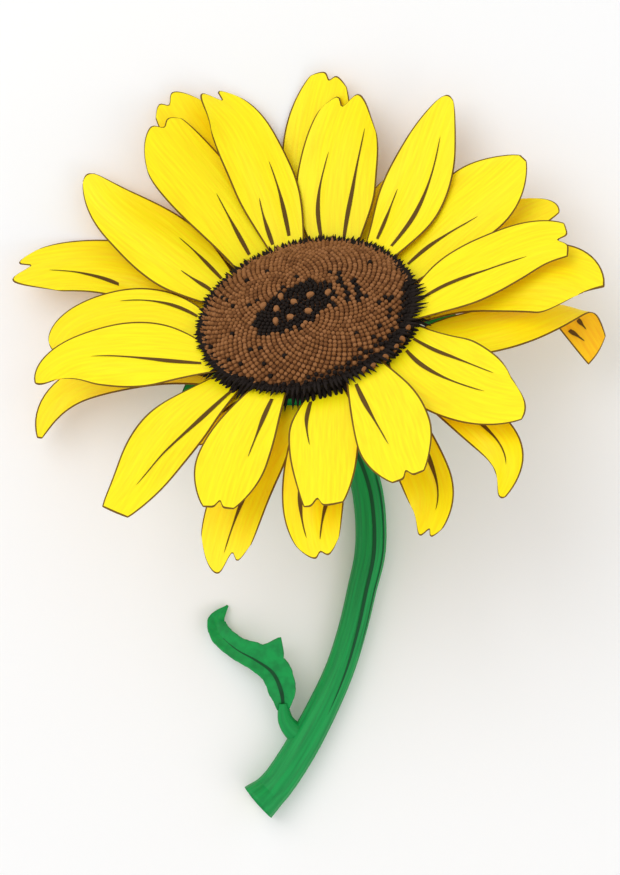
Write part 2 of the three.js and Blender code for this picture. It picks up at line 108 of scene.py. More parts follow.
# Each petal: row, level, tip, degrees round the head, length, width, heading, rise, curl, sweep and hook,
# then its creases: share and side where each starts and share and side where it ends.
PETALS = [
    (FRONT, "low", LEFT_LOBED, 64, 65, 34, -9, 44, 10, -43, -10,
     [(0.1, 0.5, 0.63, 0.3), (0.1, -0.35, 0.85, -0.55)]),
    (FRONT, "high", TAPERED, 36, 71, 28, 11, 29, 8, 32, -18,
     [(0.1, 0.46, 0.39, 0.49), (0.1, -0.39, 0.76, -0.29)]),
    (FRONT, "low", POINTED, 18, 68, 34, 0, 18, 0, -20, 13, [(0.1, 0, 0.57, -0.38)]),
    (FRONT, "high", TOOTHED, 343, 71, 28, 28, 5, -6, -9, -36, [(0.07, 0.22, 0.72, -0.38)]),
    (FRONT, "low", LEFT_LEANING, 323, 76, 35, -22, 5, -8, 35, 20,
     [(0.08, 0.27, 0.74, 0.57), (0.12, -0.25, 0.74, -0.02)]),
    (FRONT, "high", NOTCHED, 291, 72, 30, -20, 5, -8, -17, 10, [(0.12, -0.6, 0.72, -0.2)]),
    (FRONT, "low", SQUARE, 268, 66, 28, -8, 3, -8, 6, -7, [(0.1, -0.62, 0.48, -0.4)]),
    (FRONT, "high", NOTCHED, 238, 66, 28, 5, 2, -8, 17, -2, [(0.1, 0.4, 0.58, 0.4)]),
    (FRONT, "low", CUT_OFF, 210, 85, 26, 24, 6, -8, 38, -22, [(0.06, 0.65, 0.82, 0.05)]),
    (FRONT, "high", LEFT_TAPERED, 192, 75, 31, -19, 8, -8, 37, 50, [(0.08, 0.32, 0.65, -0.05)]),
    (FRONT, "low", SHOULDERED, 162, 72, 26, 17, 8, -4, 97, 36, [(0.11, -0.49, 0.5, -0.58)]),
    (FRONT, "low", TAPERED, 133, 76, 31, 1, 30, 10, 9, -29,
     [(0.1, -0.41, 0.39, -0.47), (0.1, 0.28, 0.26, 0.27)]),
    (FRONT, "mid", RIGHT_FLARED, 108, 75, 31, 18, 45, 10, 33, -21, [(0.1, 0.1, 0.45, -0.2)]),
    (FRONT, "high", RIGHT_LOBED, 90, 75, 26, 13, 44, 10, 29, 40,
     [(0.1, -0.25, 0.5, -0.4), (0.08, 0.65, 0.32, 0.35)]),
    (BACK, "high", BLUNT, 77, 75, 30, -15, 41, 10, -21, -11, [(0.2, 0, 0.6, 0)]),
    (BACK, "low", ROUNDED, 47, 40, 18, 5, 22, 10, -5, 0, [(0.1, 0, 0.6, 0)]),
    (BACK, "high", ROUNDED, 28, 42, 18, 3, 17, 10, -8, 0, [(0.1, 0, 0.6, 0)]),
    (BACK, "low", LEFT_LEANING, 11, 74, 24, 5, 6, 0, -12, -9, [(0.1, 0, 0.6, 0)]),
    (BACK, "high", CORNERED, 348, 79, 33, -3, 0, -6, -68, -13, [(0.1, 0, 0.45, 0.15)]),
    (BACK, "low", TURNED, 326, 97, 24, 53, -13, -5, 45, -18, []),
    (BACK, "high", RIGHT_LEANING, 312, 92, 19, -17, -10, -26, -9, -79, [(0.46, 0, 0.85, 0.05)]),
    (BACK, "low", LEFT_FLARED, 297, 82, 20, -21, -16, -26, -7, -61, [(0.5, 0.45, 0.88, 0.3)]),
    (BACK, "high", LOBED, 264, 74, 25, -10, -14, -26, 0, 17,
     [(0.6, -0.43, 0.88, -0.37), (0.61, 0.54, 0.92, 0.1)]),
    (BACK, "low", LEFT_LOBED, 249, 76, 25, -18, -20, -26, 23, -3, [(0.5, 0.2, 0.9, 0.05)]),
    (BACK, "high", ROUNDED, 224, 33, 18, -29, -10, -20, -21, 0, [(0.1, 0, 0.6, 0)]),
    (BACK, "low", POINTED, 199, 97, 18, -43, -14, -20, 51, 62, [(0.1, 0, 0.5, 0)]),
    (BACK, "high", ROUNDED, 171, 42, 15, -15, -6, -20, -22, 0, [(0.1, 0, 0.6, 0)]),
    (BACK, "low", RIGHT_LOBED, 144, 94, 28, 19, 16, 4, 95, 1, [(0.5, 0.55, 0.82, 0.05)]),
    (BACK, "high", ROUNDED, 119, 34, 14, 0, 24, 8, 4, 0, [(0.1, 0, 0.6, 0)]),
    (BACK, "high", LEFT_FLARED, 99, 87, 28, 15, 42, 8, 33, -18, [(0.3, 0, 0.7, 0)]),
]

# Finish of the petals: how fine their mesh is, and the size of their veins, edge and waves.
PETAL_ROWS = 44
PETAL_COLUMNS = 26
PETAL_THICK = 0.55
VEIN_DEPTH = 0.09
VEIN_COUNT = 9
# The edge is a dark band of painted shade between neighbouring petals, wider towards the base.
SHADED_RIM_WIDTH = 0.55
SHADED_RIM_AT_BASE = 0.5
SHADED_RIM_MOST = 0.3
EDGE_THINNER = 0.6
EDGE_WAVE = 0.35
EDGE_WAVES = 7
EDGE_WAVES_VARY = 3
EDGE_PHASE_STEP = 2.1

# Creases: a furrow in the petal, and a dark strip just off its face that tapers and is a little uneven.
# The strip's dark colour is partly a darker vein and partly painted shade in the crease.
CREASE_DEPTH = 0.35
CREASE_REACH = 1.3
CREASE_RUN_IN = 0.1
CREASE_FULL = 0.7
CREASE_ROWS = 44
CREASE_HALF = 0.95
CREASE_LIFT = 0.17
CREASE_TAPER = 2.2
CREASE_BLUNT = 0.8
CREASE_UNEVEN = 0.25
CREASE_WAVES = 7

# Dark strokes on the underside that shows where a tip is turned under, as the creases in the table;
# their lift is measured off the face before the tip turns.
FLAP_LIFT = 0.8
FLAP_STROKES = {"petal_back_06": [(0.84, 0.7, 0.92, 0.4), (0.83, 0.1, 0.89, 0)]}

# Bracts: a ring of green blades behind the petals, whose length and heading vary from one to the next.
BRACT = {"low": -8, "base": 0.68, "pleat": 0.45}
BRACT_TIP = {**TIP, "widest": 0.3, "share": 0.12, "drop": 0.05}
BRACT_FINISH = {"vein": 0.06, "wave": 0.2, "waves": 9, "phase": 0}
BRACT_COUNT = 20
BRACT_START = math.radians(9)
BRACT_LENGTH = 18
BRACT_WIDTH = 13.6
BRACT_THICK = 0.7
BRACT_ROWS = 20
BRACT_COLUMNS = 12
BRACT_RISE = math.radians(-28)
BRACT_SWAY = math.radians(4)
BRACT_SWAY_STEP = 2.4
BRACT_VARY = 0.08
BRACT_VARY_STEP = 1.7
BRACT_CLEARANCE = 1.9

# Buds: a small turned shape for a floret or seed and a pointed one for chaff, as rings of radius and height.
BUD_RINGS = [(0.72, -0.7), (1.0, 0.45), (0.86, 0.8), (0.42, 1.0)]
BUD_SIDES = 6
BUD_SINK = -0.4
BUD_DIMPLE = 0.1
SPIKE_RINGS = [(0.8, -0.5), (1.0, 0.25), (0.55, 0.75), (0.06, 1.15)]
SPIKE_SIDES = 5
FLORET_LOOKS = ["brown", "tan", "umber", "black"]
BROWN_MARK, TAN_MARK, UMBER_MARK, BLACK_MARK = range(4)

# Florets: the step and turn of their spiral, their size and how it varies, how they lean out towards
# the rim, and the draws below which one is tan or umber.
FLORET_STEP = 1.06
FLORET_TURN = math.radians(137.508)
FLORET_OUTER = 41.5
FLORET_RADIUS = 1.0
FLORET_WIDE = (0.88, 1.08)
FLORET_HEIGHT = 2.1
FLORET_HEIGHT_VARY = 0.1
FLORET_LEAN = 0.35
FLORET_LEAN_FROM = 30
FLORET_LEAN_OVER = 12
FLORET_LEAN_VARY = 0.06
TAN_ODDS = 0.3
UMBER_ODDS = 0.55

# Dark rim: how far it reaches in, by degrees round the head, the least reach that shows, how ragged
# it is, and the odds of a brown floret in it.
# The dark rim is painted shade on one side of the disc: florets and chaff there are coloured black.
PAINTED_SHADE_REACH = [(0, 1), (10, 0), (185, 0), (205, 1), (233, 2.2), (255, 2.6), (272, 4.4), (295, 4.4),
             (312, 3.4), (350, 4.2), (358, 2.5), (360, 1)]
PAINTED_SHADE_MOST = 4.4
PAINTED_SHADE_START = 1
PAINTED_SHADE_LEAST = 0.6
PAINTED_SHADE_RAGGED = 0.7
PAINTED_SHADE_BROWN_ODDS = 0.12

# Chaff: rings of pointed scales that lean out over the petals' feet: radius, lean, length and lift of each.
# The first rings are black all round, and the first two are longer where the dark rim reaches far in.
CHAFF_RINGS = [(42.9, 1.95, 5.0, -0.6), (42.0, 1.4, 3.4, 1.1), (42.0, 1.0, 3.2, 0.3), (41.4, 0.5, 3.0, -0.6)]
CHAFF_COUNT = 132
CHAFF_HALF = 0.95
CHAFF_LONG = (0.75, 1.15)
CHAFF_STRAY = 0.006
CHAFF_BLEND = 1.5
CHAFF_LONGER = 3.6
BLACK_RINGS = 3
LONGER_RINGS = 2

# Heart: an oval of buds, and in it a slanting dark oval with two dark strokes beside it.
HEART_HALF_LONG = 21.5
HEART_HALF_WIDE = 14
HEART_MIDDLE = (-4, -2.5)
HEART_SLANT = math.radians(24)
HEART_HALVES = (18, 11.5)
HEART_RAGGED = 0.12
HEART_STROKES = [(17.3, -9, 7.5), (22, -8.5, 5)]
STROKE_HALF = 0.95
STROKE_BOW = 0.02
STROKE_MIDDLE = -1

# Seeds: narrow buds in the heart, by place, and a few on the dark rim, by degrees round it and radius.
SEED_SIDES = 12
SEED_HALF = 1.75
SEED_NARROW = 0.72
SEED_HEIGHT = 2.9
HEART_SEEDS = [(-15.5, 3.5), (-11, -1), (-8, 5.5), (-12.5, -7.5), (-3.5, 0), (-6.5, -8), (1, -7.5),
               (3.5, 1.5), (10.5, 0)]
RIM_SEEDS = [(325, 44.3), (317, 45), (311, 45.2), (303, 45.2), (295, 45), (290, 44.2)]
RIM_SEED_LEVEL = 2.4
RIM_SEED_LEAN = 0.5
RIM_SEED_HALF = 1.35

# Specks: how likely a dark floret is in the open and in two parts with more of them, each between two
# radii and two angles in degrees.
SPECKS_FEW = 0.012
SPECKS_MANY = 0.055
SPECK_SIDES = [(22, 37, 130, 262), (25, 38, 296, 350)]

# Stem and leaf stalk: places and radii along them, and the ribs and slight unevenness of their skin.
STEM_PATH = [(4.15, 30.1, 27.2, 6.8), (5.4, 25.6, 23.1, 6.5), (9.4, 14.6, 14.6, 6.3), (15, 1, 8.3, 6.2),
             (20.6, -11.5, 6.3, 6.2), (24, -25, 6.4, 6.4), (24.7, -46, 6.4, 6.4), (21.2, -62.5, 6, 6),
             (17.3, -78.9, 5.9, 5.9), (12.2, -95, 6, 6), (5, -111, 6.4, 6.4), (-3.6, -127, 6.8, 6.8),
             (-12.5, -140.6, 6.9, 6.9), (-16.6, -145.2, 7.2, 7.2), (-21.3, -149.3, 8.4, 8.4)]
STALK_PATH = [(0, -122.6, 6.8, 5), (-6, -120.6, 7.2, 4.4), (-9.8, -116.2, 7.8, 3.4),
              (-10.8, -111.8, 8, 2.6), (-11.1, -108.6, 8.6, 1.9)]
STEM_SKIN = {"sides": 96, "rings": 240, "ribs": 12, "depth": 0.16}
STALK_SKIN = {"sides": 48, "rings": 40, "ribs": 7, "depth": 0.12}
RIB_SHARP = 3
RIB_DRIFT = 1.2
UNEVEN_DEPTH = 0.03
UNEVEN_LOBES = 3
UNEVEN_DRIFT = 9
STEM_GRAIN = (4, 21)
STALK_GRAIN = (2, 2)

# Cut end: rings inside the stem's edge, each with its size, how far it stands out and its look's number.
CUT_RINGS = [(0.86, 0.0, 1), (0.8, -0.15, 1), (0.5, -0.35, 2), (0.2, -0.5, 2)]
PITH_MARK = 2

# Furrows: shares of the stem's length and turns round it where each starts and ends, and half its width.
# Each furrow is a dark strip of painted shade laid on the skin, not cut into it.
FURROWS = [(0.2, 0.72, 92, 118, 0.75), (0.3, 0.62, 140, 150, 0.4)]
FURROW_ROWS = 120
FURROW_LIFT = 0.1
FURROW_WIDENS = 9
FURROW_TAPER = 5
FURROW_GRAIN = [0, 0.05, 0.1]
FURROW_GRAIN_ROWS = 12

# Leaf: the line of its midrib, its half widths along it, one long tooth, and how steeply it is folded.
LEAF_SPINE = [(-10.9, -111.2, 8), (-11.8, -104, 9.4), (-15.4, -96.2, 11), (-22, -91.2, 11),
              (-30.2, -86.6, 9), (-36.8, -80.6, 6), (-38.4, -75, 3.6), (-33.8, -69, 1.6)]
LEAF_LEFT = [2.6, 5.2, 4.8, 4.2, 4, 4.2, 3.6, 0.4]
LEAF_RIGHT = [2.6, 6.4, 8, 7.6, 5.4, 4.8, 4, 0.4]
LEAF_TOOTH = {"at": 0.375, "reach": 6.5, "spread": 0.07}
LEAF_FOLD = 0.3
LEAF_ROWS = 72
LEAF_SIDES = 18
LEAF_THICK = 0.6
LEAF_NOTCHES = 13
LEAF_NOTCH_DEPTH = 0.04
LEAF_VEIN = {"height": 0.22, "count": 9, "slant": 0.9}
MIDRIB = {"rows": 60, "from": 0.02, "long": 0.66, "half": 0.16, "end": 0.015, "lift": 0.12}

rng = np.random.default_rng(7)


# Small helpers for directions, places and smooth steps.
def unit(v):
    return v / np.linalg.norm(v, axis=-1, keepdims=True)


def smooth(value):
    share = np.clip(value, 0, 1)
    return share * share * (3 - 2 * share)


def rotated(v, axis, angle):
    return v * math.cos(angle) + np.cross(axis, v) * math.sin(angle)


HEAD_AXIS = np.array([-math.sin(HEAD_LEAN) * math.sin(HEAD_TURN),
                      math.sin(HEAD_LEAN) * math.cos(HEAD_TURN), math.cos(HEAD_LEAN)])
HEAD_RIGHT = np.array([math.cos(HEAD_TURN), math.sin(HEAD_TURN), 0.0])
HEAD_ABOVE = np.cross(HEAD_AXIS, HEAD_RIGHT)
HEAD_FRAME = np.array([HEAD_RIGHT, HEAD_ABOVE, HEAD_AXIS])


def from_head(points):
    return np.asarray(points, float) @ HEAD_FRAME + HEAD_MIDDLE


# Materials: one colour field of fine noise with a bump, stretched along the grain where the piece has one.
SPECULAR = 0.3
PLAIN_SPECULAR = 0.2
NOISE_DETAIL = 4
NOISE_DARK = 0.32
NOISE_LIGHT = 0.62
BUMP_DISTANCE = 0.0004


def material(name, light, dark, roughness, scale, bump, grain=None):
    made = bpy.data.materials.new(name)
    made.use_nodes = True
    nodes = made.node_tree.nodes
    links = made.node_tree.links
    shader = nodes["Principled BSDF"]
    shader.inputs["Roughness"].default_value = roughness
    shader.inputs["Specular IOR Level"].default_value = SPECULAR
    mapping = nodes.new("ShaderNodeMapping")
    if grain:
        place = nodes.new("ShaderNodeUVMap")
        place.uv_map = "grain"
        links.new(place.outputs["UV"], mapping.inputs["Vector"])
        mapping.inputs["Scale"].default_value = (grain[0], grain[1], 1)
    else:
        place = nodes.new("ShaderNodeTexCoord")
        links.new(place.outputs["Object"], mapping.inputs["Vector"])
    noise = nodes.new("ShaderNodeTexNoise")
    noise.inputs["Scale"].default_value = scale
    noise.inputs["Detail"].default_value = NOISE_DETAIL
    links.new(mapping.outputs["Vector"], noise.inputs["Vector"])
    ramp = nodes.new("ShaderNodeValToRGB")
    ramp.color_ramp.elements[0].position = NOISE_DARK
    ramp.color_ramp.elements[0].color = (*dark, 1)
    ramp.color_ramp.elements[1].position = NOISE_LIGHT
    ramp.color_ramp.elements[1].color = (*light, 1)
    links.new(noise.outputs["Fac"], ramp.inputs["Fac"])
    links.new(ramp.outputs["Color"], shader.inputs["Base Color"])
    raised = nodes.new("ShaderNodeBump")
    raised.inputs["Strength"].default_value = bump
    raised.inputs["Distance"].default_value = BUMP_DISTANCE
    links.new(noise.outputs["Fac"], raised.inputs["Height"])
    links.new(raised.outputs["Normal"], shader.inputs["Normal"])
    return made


def plain(name, colour, roughness):
    made = bpy.data.materials.new(name)
    made.use_nodes = True
    shader = made.node_tree.nodes["Principled BSDF"]
    shader.inputs["Base Color"].default_value = (*colour, 1)
    shader.inputs["Roughness"].default_value = roughness
    shader.inputs["Specular IOR Level"].default_value = PLAIN_SPECULAR
    return made


YELLOW = (1.0, 0.87, 0.0)
YELLOW_DEEP = (1.0, 0.76, 0.0)
GOLD = (1.0, 0.60, 0.0)
GOLD_DEEP = (0.95, 0.47, 0.0)
# Crease ochre: partly a darker vein colour and partly painted shade in the crease.
OCHRE = (0.11, 0.052, 0.0)
# Painted shade on the petals' rims, between neighbouring petals.
OCHRE_RIM_SHADE = (0.20, 0.10, 0.0)
OCHRE_RIM_SHADE_DEEP = (0.13, 0.065, 0.0)
TAN = (0.32, 0.137, 0.049)
BROWN = (0.27, 0.111, 0.036)
BROWN_DEEP = (0.195, 0.076, 0.024)
BROWN_SHADE = (0.06, 0.022, 0.008)
BLACK_BROWN = (0.012, 0.007, 0.005)
GREEN = (0.0, 0.31, 0.062)
GREEN_DEEP = (0.0, 0.215, 0.045)
GREEN_SHADE = (0.0, 0.07, 0.018)
GREEN_BLACK = (0.0, 0.04, 0.012)
GREEN_PALE = (0.32, 0.52, 0.16)
GREEN_PALE_DEEP = (0.22, 0.42, 0.11)
PITH = (0.80, 0.82, 0.62)
PITH_DEEP = (0.66, 0.70, 0.46)

# How far the noise is squeezed across the grain and along it.
PETAL_FIBRES = (9, 0.6)
STEM_FIBRES = (7, 0.35)

# Looks: a name, its colours and roughness, and where it has noise, the noise's scale, bump and any fibres.
LOOK = {
    "petal": material("petal_face", YELLOW, YELLOW_DEEP, 0.5, 1, 0.25, PETAL_FIBRES),
    "under": material("petal_under", GOLD, GOLD_DEEP, 0.6, 1, 0.25, PETAL_FIBRES),
    # Crease strips: partly vein colour, partly painted shade.
    "crease": material("petal_crease_vein_and_shade", OCHRE, OCHRE, 0.7, 1, 0.1, PETAL_FIBRES),
    # Petal rims: a dark band of painted shade.
    "edge": material("petal_rim_painted_shade", OCHRE_RIM_SHADE, OCHRE_RIM_SHADE_DEEP, 0.7, 1, 0.1, PETAL_FIBRES),
    "disc": material("disc_ground", BROWN_DEEP, BROWN_SHADE, 0.95, 900, 0.5),
    "brown": plain("floret_brown", BROWN, 0.85),
    "tan": plain("floret_tan", TAN, 0.85),
    "umber": plain("floret_umber", BROWN_DEEP, 0.9),
    "black": plain("floret_black", BLACK_BROWN, 0.8),
    "stem": material("stem_skin", GREEN, GREEN_DEEP, 0.55, 1, 0.35, STEM_FIBRES),
    # Stem furrows: dark strips of painted shade.
    "painted_furrow_shade": material("stem_painted_furrow_shade", GREEN_SHADE, GREEN_SHADE, 0.7, 1, 0.1, STEM_FIBRES),
    "leaf": material("leaf_skin", GREEN, GREEN_DEEP, 0.55, 260, 0.5),
    # Leaf midrib and bract rims: dark green painted shade.
    "vein": material("green_painted_shade", GREEN_SHADE, GREEN_BLACK, 0.7, 200, 0.2),
    "flesh": material("stem_flesh", GREEN_PALE, GREEN_PALE_DEEP, 0.7, 500, 0.3),
    "pith": material("stem_pith", PITH, PITH_DEEP, 0.9, 700, 0.6),
}


# Meshes: one piece of the flower, and the faces of grids and closed sheets.
def piece(name, points, faces, looks, marks, replaces, grain=None):
    """A mesh from points in millimetres, with a look for each face and perhaps a grain for each point."""
    mesh = bpy.data.meshes.new(name)
    places = (np.asarray(points) + CENTRING) * MM
    mesh.from_pydata(places.tolist(), [], [list(map(int, f)) for f in faces])
    for look in looks:
        mesh.materials.append(LOOK[look])
    mesh.polygons.foreach_set("material_index", np.asarray(marks, dtype=np.int32))
    mesh.polygons.foreach_set("use_smooth", np.ones(len(mesh.polygons), dtype=bool))
    if grain is not None:
        corners = np.empty(len(mesh.loops), dtype=np.int32)
        mesh.loops.foreach_get("vertex_index", corners)
        layer = mesh.uv_layers.new(name="grain")
        layer.data.foreach_set("uv", np.asarray(grain, dtype=np.float32)[corners].ravel())
    mesh.update()
    made = bpy.data.objects.new(name, mesh)
    bpy.context.scene.collection.objects.link(made)
    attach(made, "root")
    if replaces:
        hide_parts(*replaces)


def grid_faces(rows, columns, start=0, flip=False, closed=False):
    """Faces of a grid of points, rows by columns; closed joins the last column to the first."""
    i, j = np.meshgrid(np.arange(rows - 1), np.arange(columns if closed else columns - 1), indexing="ij")
    k = (j + 1) % columns
    quads = np.stack([i * columns + j, (i + 1) * columns + j, (i + 1) * columns + k, i * columns + k], -1)
    quads = quads.reshape(-1, 4) + start
    return quads[:, ::-1] if flip else quads


def sheet_normals(points):
    return unit(np.cross(np.gradient(points, axis=0), np.gradient(points, axis=1)))


def closed_sheet(middle, half_thick):
    """Points and faces of a sheet with a thickness: upper faces, lower ones, then the rim's walls."""
    away = sheet_normals(middle) * half_thick
    count = middle.shape[0] * middle.shape[1]
    at = np.arange(count).reshape(middle.shape[:2])
    rim = np.concatenate([at[:-1, 0], at[-1, :-1], at[:0:-1, -1], at[0, :0:-1]])
    after = np.roll(rim, -1)
    walls = np.stack([rim, rim + count, after + count, after], -1)
    points = np.concatenate([(middle + away).reshape(-1, 3), (middle - away).reshape(-1, 3)])
    return points, [grid_faces(*at.shape), grid_faces(*at.shape, count, flip=True), walls]


def joined(parts):
    """Parts that are each points, faces, marks and grain, joined into one."""
    points, faces, marks, grain = zip(*parts)
    starts = np.cumsum([0] + [len(part) for part in points[:-1]])
    faces = [part + start for part, start in zip(faces, starts)]
    return [np.concatenate(group) for group in (points, faces, marks, grain)]


# Blades: the middle line of a petal or bract in the head's frame, and points beside it.
def spine_of(angle, level, length, heading, rise, curl, sweep, hook):
    out = np.array([math.cos(angle), math.sin(angle), 0.0])
    around = np.array([-math.sin(angle), math.cos(angle), 0.0])
    point = out * BASE_RADIUS + UP * level
    spine = {"point": [], "along": [], "across": [], "normal": []}
    for k in range(SPINE_STEPS + 1):
        share = k / SPINE_STEPS
        tilt = rise + curl * (share - 0.5)
        turn = heading + sweep * (share - 0.5) + hook * smooth((share - HOOK_START) / (1 - HOOK_START))
        twist = FACE_TWIST * math.cos(angle) * smooth(share / TWIST_DONE)
        flat = out * math.cos(turn) + around * math.sin(turn)
        along = flat * math.cos(tilt) + UP * math.sin(tilt)
        across = rotated(unit(np.cross(UP, along)), along, twist)
        spine["point"].append(point)
        spine["along"].append(along)
        spine["across"].append(across)
        spine["normal"].append(np.cross(along, across))
        point = point + along * length / SPINE_STEPS
    return {key: np.array(value) for key, value in spine.items()}


def spine_at(spine, share):
    place = np.clip(share, 0, 1) * SPINE_STEPS
    k = np.minimum(place.astype(int), SPINE_STEPS - 1)
    part = (place - k)[..., None]
    return {key: value[k] * (1 - part) + value[k + 1] * part for key, value in spine.items()}


def on_spine(spine, share, sideways, relief):
    at = spine_at(spine, share)
    return at["point"] + at["across"] * sideways[..., None] + at["normal"] * relief[..., None]


def turned_under(spine, length, crease, share, sideways, relief):
    """Points of a blade whose end is turned under its own face about a slanting crease."""
    ahead = (math.sin(crease["slant"]), math.cos(crease["slant"]))
    past = np.maximum((share - crease["at"]) * length * ahead[0] + sideways * ahead[1], 0)
    at = spine_at(spine, np.array(crease["at"]))
    point = on_spine(spine, share - past * ahead[0] / length, sideways - past * ahead[1], relief)
    outward = at["along"] * ahead[0] + at["across"] * ahead[1]
    bend = np.minimum(past / crease["radius"], crease["turn"])
    straight = past - bend * crease["radius"]
    forth = crease["radius"] * np.sin(bend) + straight * np.cos(bend)
    fall = crease["radius"] * (1 - np.cos(bend)) + straight * np.sin(bend)
    return point + outward * forth[..., None] - at["normal"] * fall[..., None]


def width_share(share, kind, tip):
    below = kind["base"] + (1 - kind["base"]) * np.sin(np.pi / 2 * share / tip["widest"])
    beyond = np.clip((share - tip["widest"]) / (1 - tip["widest"]), 0, 1)
    above = tip["share"] + (1 - tip["share"]) * np.maximum(np.cos(np.pi / 2 * beyond), 0) ** TIP_ROUND
    return np.where(share < tip["widest"], below, above)


def blade_relief(blade, share, side, half):
    """How far the blade's sheet stands off flat: its pleats, veins, wavy edge and creases."""
    body = np.sin(share * np.pi)
    relief = blade["kind"]["pleat"] * body * np.cos(side * PLEATS * np.pi)
    relief = relief + blade["vein"] * np.cos(side * VEIN_COUNT * np.pi) * body
    relief = relief + blade["wave"] * side ** 2 * np.sin(share * blade["waves"] + blade["phase"] + side)
    for start, side_from, end, side_to in blade["creases"]:
        part = np.clip((share - start) / (end - start), 0, 1)
        middle = side_from + (side_to - side_from) * part
        sunk = np.clip((share - start + CREASE_RUN_IN) / (end - start + CREASE_RUN_IN), 0, 1)
        deep = np.sin(np.pi * sunk) ** CREASE_FULL
        relief = relief - CREASE_DEPTH * deep * np.exp(-((side - middle) * half / CREASE_REACH) ** 2)
    return relief


def blade_points(blade, share, side, lift=0.0):
    """Points of the blade's middle sheet, at a share of its length and a side from -1 to 1."""
    kind, tip, width, length = blade["kind"], blade["tip"], blade["width"], blade["length"]
    half = width / 2 * width_share(share, kind, tip)
    notch = tip["notch"] * np.exp(-((side - tip["at"]) / NOTCH_SPREAD) ** 2)
    shorter = tip["drop"] * side ** 2 + tip["skew"] * side + abs(tip["skew"]) + notch
    place = share - shorter * share ** 3
    relief = blade_relief(blade, share, side, half) + lift
    if "crease" in tip:
        point = turned_under(blade["spine"], length, tip["crease"], place, side * half, relief)
    else:
        point = on_spine(blade["spine"], place, side * half, relief)
    base_angle = blade["angle"] + side * width / 2 * kind["base"] / BASE_RADIUS
    level = np.full_like(base_angle, blade["level"]) + lift
    base = np.stack([np.cos(base_angle) * BASE_RADIUS, np.sin(base_angle) * BASE_RADIUS, level], -1)
    hold = (np.maximum(0, 1 - share / BASE_BLEND) ** 2)[..., None]
    return from_head(point * (1 - hold) + base * hold)


# Marks of a blade's faces, in the order of its looks, and the millimetres that make one unit of grain.
PETAL_LOOKS = ["petal", "under", "edge", "crease"]
# Bract rims take the dark green of painted shade, as petal rims take ochre.
BRACT_LOOKS = ["leaf", "leaf", "vein"]
FACE_MARK, UNDER_MARK, SHADED_RIM_MARK, CREASE_VEIN_AND_SHADE_MARK = range(4)
GRAIN_UNIT = 10


def blade_sheet(blade, rows, columns, thick):
    """Both faces and the rim of a blade: its points, faces, marks and grain."""
    edge_share = SHADED_RIM_WIDTH / blade["length"]
    share = np.append(np.linspace(0, 1 - edge_share, rows), 1.0)
    half = blade["width"] / 2 * width_share(share, blade["kind"], blade["tip"])
    margin = np.minimum(SHADED_RIM_WIDTH * (1 + SHADED_RIM_AT_BASE * (1 - share)) / half, SHADED_RIM_MOST)
    inner = np.linspace(-1, 1, columns - 1)[None, :] * (1 - margin[:, None])
    side = np.concatenate([-np.ones((len(share), 1)), inner, np.ones((len(share), 1))], axis=1)
    share = np.repeat(share[:, None], side.shape[1], axis=1)
    taper = thick / 2 * (1 - EDGE_THINNER * np.abs(side) ** 4)
    points, (top, below, walls) = closed_sheet(blade_points(blade, share, side), taper[..., None])
    marks = np.full((side.shape[0] - 1, side.shape[1] - 1), FACE_MARK)
    # The outer rows and the walls take the rim's look: a dark band of painted shade.
    marks[:, 0] = marks[:, -1] = marks[-1, :] = SHADED_RIM_MARK
    under = np.where(marks == SHADED_RIM_MARK, SHADED_RIM_MARK, UNDER_MARK)
    all_marks = np.concatenate([marks.ravel(), under.ravel(), np.full(len(walls), SHADED_RIM_MARK)])
    grain = np.stack([side * half[:, None] / GRAIN_UNIT, share * blade["length"] / GRAIN_UNIT], -1)
    return points, np.concatenate([top, below, walls]), all_marks, np.tile(grain.reshape(-1, 2), (2, 1))


def crease_strip(blade, line, lift):
    """A narrow dark tapered strip that lines one crease, lifted just off the blade's face; its colour is
    partly vein, partly painted shade.
    """
    start, side_from, end, side_to = line
    part = np.linspace(0, 1, CREASE_ROWS)[:, None]
    share = start + (end - start) * part
    half = blade["width"] / 2 * width_share(share, blade["kind"], blade["tip"])
    uneven = 1 - CREASE_UNEVEN + CREASE_UNEVEN * np.sin(part * CREASE_WAVES)
    wide = CREASE_HALF * (1 - part ** CREASE_TAPER) ** CREASE_BLUNT * uneven
    across = np.array([-1.0, 0.0, 1.0])[None, :]
    side = side_from + (side_to - side_from) * part + across * wide / half
    share = np.repeat(share, 3, axis=1)
    points = blade_points(blade, share, side, lift)
    faces = grid_faces(CREASE_ROWS, 3)
    grain = np.stack([side * half / GRAIN_UNIT, share * blade["length"] / GRAIN_UNIT], -1)
    return points.reshape(-1, 3), faces, np.full(len(faces), CREASE_VEIN_AND_SHADE_MARK), grain.reshape(-1, 2)


def blade_of(kind, level, tip, angle, length, width, bends, creases, finish):
    """What a blade's points are worked out from; finish is its veins' depth and its edge's waves."""
    return {"kind": kind, "tip": tip, "angle": angle, "level": level, "length": length, "width": width,
            "creases": creases, "spine": spine_of(angle, level, length, *bends), **finish}


# Petals: each with the dark strips of its creases, numbered by row.
def petal(node, number, entry):
    kind, level, tip, degrees, length, width, *bends, creases = entry
    angle, *bends = (math.radians(value) for value in (degrees, *bends))
    waves = EDGE_WAVES + EDGE_WAVES_VARY * math.sin(number)
    finish = {"vein": VEIN_DEPTH, "wave": EDGE_WAVE, "waves": waves, "phase": EDGE_PHASE_STEP * number}
    blade = blade_of(kind, kind[level], tip, angle, length, width, bends, creases, finish)
    parts = [blade_sheet(blade, PETAL_ROWS, PETAL_COLUMNS, PETAL_THICK)]
    parts += [crease_strip(blade, line, PETAL_THICK / 2 + CREASE_LIFT) for line in creases]
    parts += [crease_strip(blade, line, FLAP_LIFT) for line in FLAP_STROKES.get(node, [])]
    points, faces, marks, grain = joined(parts)
    piece("look_" + node, points, faces, PETAL_LOOKS, marks, [node], grain)


